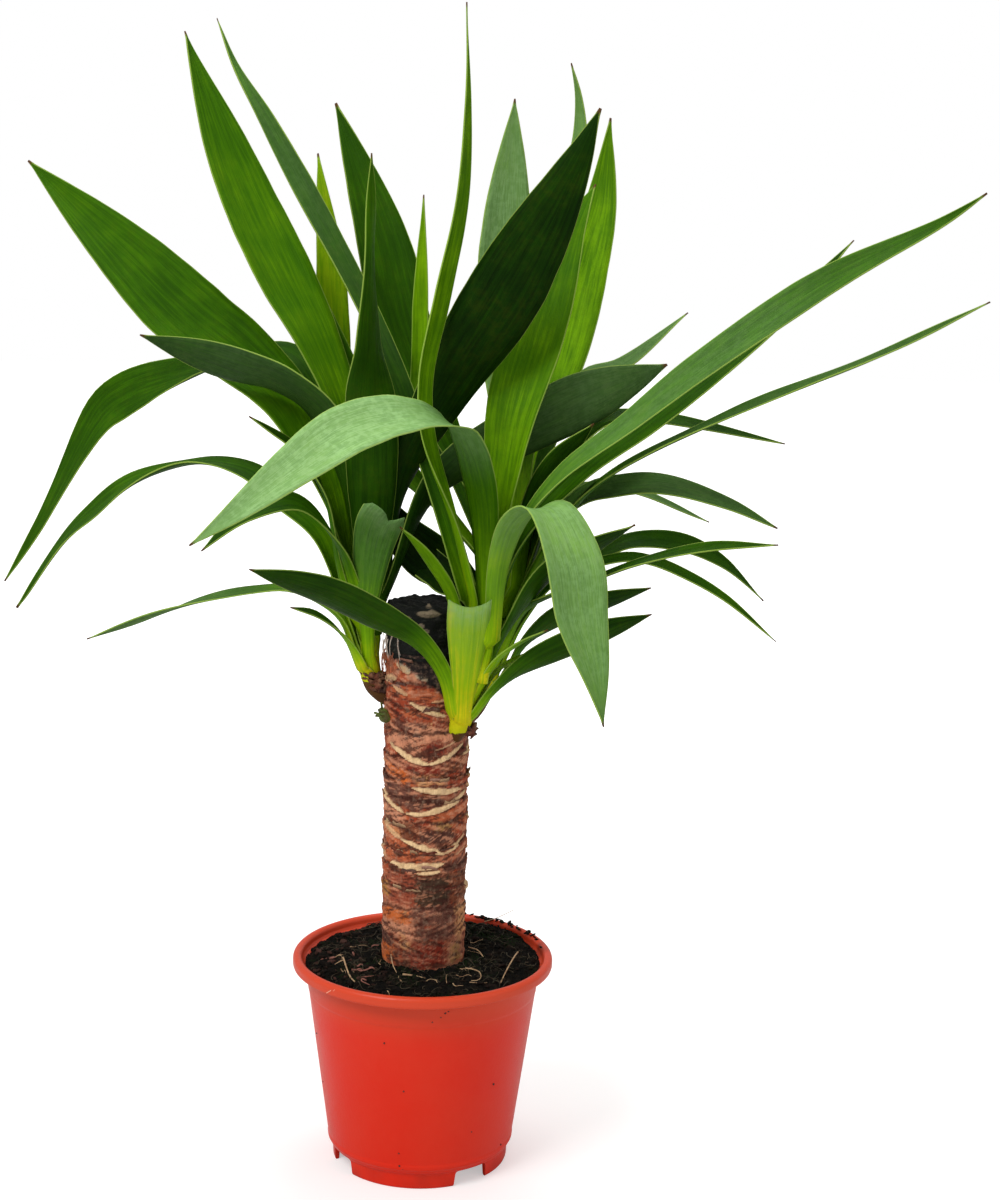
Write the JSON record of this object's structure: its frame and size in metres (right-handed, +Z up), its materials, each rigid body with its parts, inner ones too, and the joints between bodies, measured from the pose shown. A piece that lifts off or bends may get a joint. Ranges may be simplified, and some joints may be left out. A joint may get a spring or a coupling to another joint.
{
  "type": "potted yucca",
  "caption": "Small indoor yucca: a short cut cane with leafy side shoots, planted in peat in a terracotta-coloured plastic nursery pot.",
  "frame": {"origin": "on the surface that the pot stands on, on the shared axis of the pot and the cane", "axes": "+Z up along the cane; -Y is the side that the front shoot faces"},
  "size_m": [0.4372, 0.2291, 0.5222],
  "materials": {
    "pot_plastic": "satin",
    "peat": "matte",
    "bark": "matte",
    "cut_seal": "matte",
    "bud_husk": "matte",
    "shoot_green": "satin",
    "leaf_green": "satin"
  },
  "bodies": {
    "root": {"pot": "pot_plastic", "soil": "peat", "trunk": "bark", "cut_cap": "cut_seal", "left_shoot": "shoot_green", "front_shoot": "shoot_green", "back_shoot": "shoot_green", "side_bud": "bud_husk", "left_leaf_01": "leaf_green", "left_leaf_02": "leaf_green", "left_leaf_03": "leaf_green", "left_leaf_04": "leaf_green", "left_leaf_05": "leaf_green", "left_leaf_06": "leaf_green", "left_leaf_07": "leaf_green", "left_leaf_08": "leaf_green", "left_leaf_09": "leaf_green", "left_leaf_10": "leaf_green", "left_leaf_11": "leaf_green", "left_leaf_12": "leaf_green", "left_leaf_13": "leaf_green", "left_leaf_14": "leaf_green", "left_leaf_15": "leaf_green", "left_leaf_16": "leaf_green", "front_leaf_01": "leaf_green", "front_leaf_02": "leaf_green", "front_leaf_03": "leaf_green", "front_leaf_04": "leaf_green", "front_leaf_05": "leaf_green", "front_leaf_06": "leaf_green", "front_leaf_07": "leaf_green", "front_leaf_08": "leaf_green", "front_leaf_09": "leaf_green", "front_leaf_10": "leaf_green", "front_leaf_11": "leaf_green", "front_leaf_12": "leaf_green", "front_leaf_13": "leaf_green", "front_leaf_14": "leaf_green", "front_leaf_15": "leaf_green", "back_leaf_01": "leaf_green", "back_leaf_02": "leaf_green", "back_leaf_03": "leaf_green", "back_leaf_04": "leaf_green", "back_leaf_05": "leaf_green", "back_leaf_06": "leaf_green", "back_leaf_07": "leaf_green", "back_leaf_08": "leaf_green", "back_leaf_09": "leaf_green", "back_leaf_10": "leaf_green", "back_leaf_11": "leaf_green", "back_leaf_12": "leaf_green", "back_leaf_13": "leaf_green", "back_leaf_14": "leaf_green", "back_leaf_15": "leaf_green", "back_leaf_16": "leaf_green", "back_leaf_17": "leaf_green", "back_leaf_18": "leaf_green"}
  },
  "joints": []
}
